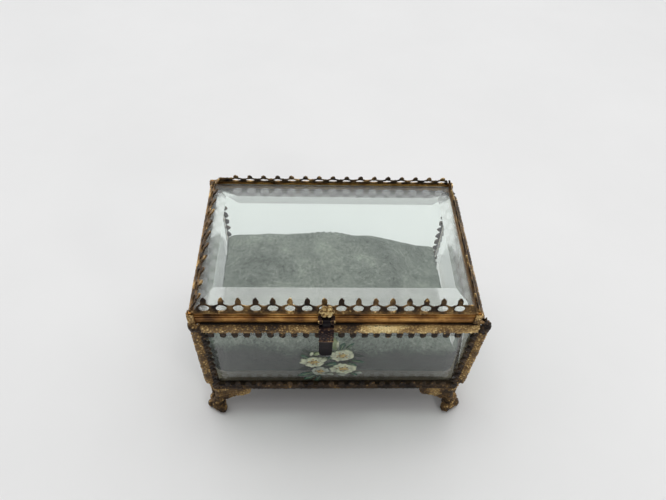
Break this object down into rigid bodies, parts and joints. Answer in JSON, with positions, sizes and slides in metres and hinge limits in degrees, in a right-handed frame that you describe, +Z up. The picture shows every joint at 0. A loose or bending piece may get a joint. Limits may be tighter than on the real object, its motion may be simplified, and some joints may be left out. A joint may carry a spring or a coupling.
{
  "type": "vanity trinket box",
  "caption": "Rectangular glass and gilt-brass trinket casket on paw feet, with a hinged bevelled-glass lid, a hanging clasp and a velvet pad.",
  "frame": {"origin": "on the table, under the middle of the casket's overall box", "axes": "+X along the casket to the right as seen from the front, -Y out of the front with the clasp, +Z up"},
  "size_m": [0.1064, 0.075, 0.0731],
  "materials": {
    "bevelled_glass": "polished, bevelled edges",
    "stamped_gilt_brass": "stamped and granulated, worn gilding over dark patina",
    "lid_gilt_brass": "smooth worn gilding",
    "pierced_gilt_brass": "pierced strip, dark patina with rubbed gilding",
    "cast_gilt_brass": "cast, dark patina in the hollows",
    "dark_brass": "smooth, almost black patina",
    "pin_brass": "drawn wire",
    "base_sheet_brass": "rolled sheet, tarnished",
    "velvet": "short-pile grey-green velvet",
    "card_board": "grey card",
    "flower_paint": "hand-painted enamel, slightly raised"
  },
  "bodies": {
    "base": {"base_plate": "base_sheet_brass", "pad_board": "card_board", "cushion": "velvet", "painted_flowers": "flower_paint", "catch_stud": "dark_brass", "glass_front": "bevelled_glass", "glass_back": "bevelled_glass", "glass_left": "bevelled_glass", "glass_right": "bevelled_glass", "top_rim_front": "stamped_gilt_brass", "top_rim_back": "stamped_gilt_brass", "top_rim_left": "stamped_gilt_brass", "top_rim_right": "stamped_gilt_brass", "bottom_rim_front": "stamped_gilt_brass", "bottom_rim_back": "stamped_gilt_brass", "bottom_rim_left": "stamped_gilt_brass", "bottom_rim_right": "stamped_gilt_brass", "corner_post_front_left": "stamped_gilt_brass", "corner_post_front_right": "stamped_gilt_brass", "corner_post_back_left": "stamped_gilt_brass", "corner_post_back_right": "stamped_gilt_brass", "foot_front_left": "cast_gilt_brass", "foot_front_right": "cast_gilt_brass", "foot_back_left": "cast_gilt_brass", "foot_back_right": "cast_gilt_brass", "hinge_leaf_base_left": "dark_brass", "hinge_leaf_base_right": "dark_brass", "hinge_pin_left": "pin_brass", "hinge_pin_right": "pin_brass"},
    "lid": {"lid_glass": "bevelled_glass", "clasp_rosette": "cast_gilt_brass", "hasp_bracket": "dark_brass", "hasp_pin": "pin_brass", "lid_frame_front": "lid_gilt_brass", "lid_frame_back": "lid_gilt_brass", "lid_frame_left": "lid_gilt_brass", "lid_frame_right": "lid_gilt_brass", "gallery_front": "pierced_gilt_brass", "gallery_back": "pierced_gilt_brass", "gallery_left": "pierced_gilt_brass", "gallery_right": "pierced_gilt_brass", "lid_clip_front_left": "stamped_gilt_brass", "lid_clip_front_right": "stamped_gilt_brass", "lid_clip_back_left": "stamped_gilt_brass", "lid_clip_back_right": "stamped_gilt_brass", "hinge_leaf_lid_left": "dark_brass", "hinge_leaf_lid_right": "dark_brass"},
    "hasp": {"hasp": "dark_brass"}
  },
  "joints": [
    {"name": "lid_hinge", "type": "hinge", "parent": "base", "child": "lid", "pos_m": [0, 0.0355, 0.06215], "axis": [-1, 0, 0], "range_deg": [0, 105]},
    {"name": "hasp_hinge", "type": "hinge", "parent": "lid", "child": "hasp", "pos_m": [-0.00515, -0.0346, 0.0661], "axis": [-1, 0, 0], "range_deg": [0, 95]}
  ]
}
